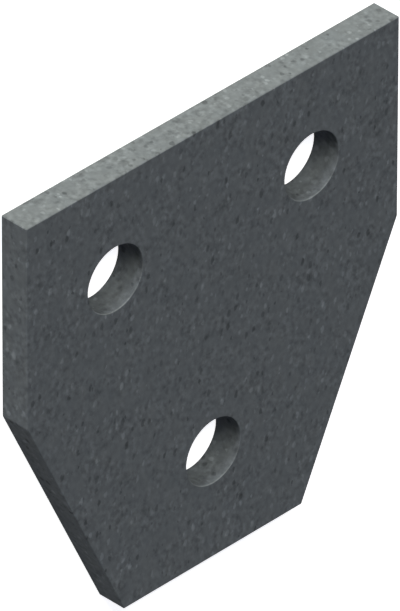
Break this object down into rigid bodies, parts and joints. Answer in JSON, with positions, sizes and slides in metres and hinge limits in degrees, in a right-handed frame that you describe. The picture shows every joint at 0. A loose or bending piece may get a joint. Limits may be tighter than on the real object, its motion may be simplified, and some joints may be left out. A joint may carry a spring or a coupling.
{
  "type": "gusset plate",
  "caption": "Flat steel gusset plate with straight shoulders, sides tapering to a narrower foot and a triangle of round bolt holes, for joining framing channel.",
  "frame": {"origin": "middle of the plate's bounding rectangle on its back face, which lies on the ground plane", "axes": "+X across the width, +Y along the height towards the wide top edge, +Z out of the front face along the holes"},
  "size_m": [0.089, 0.09, 0.006],
  "materials": {
    "zinc_coated_steel": "matte"
  },
  "bodies": {
    "root": {"gusset_plate": "zinc_coated_steel"}
  },
  "joints": []
}
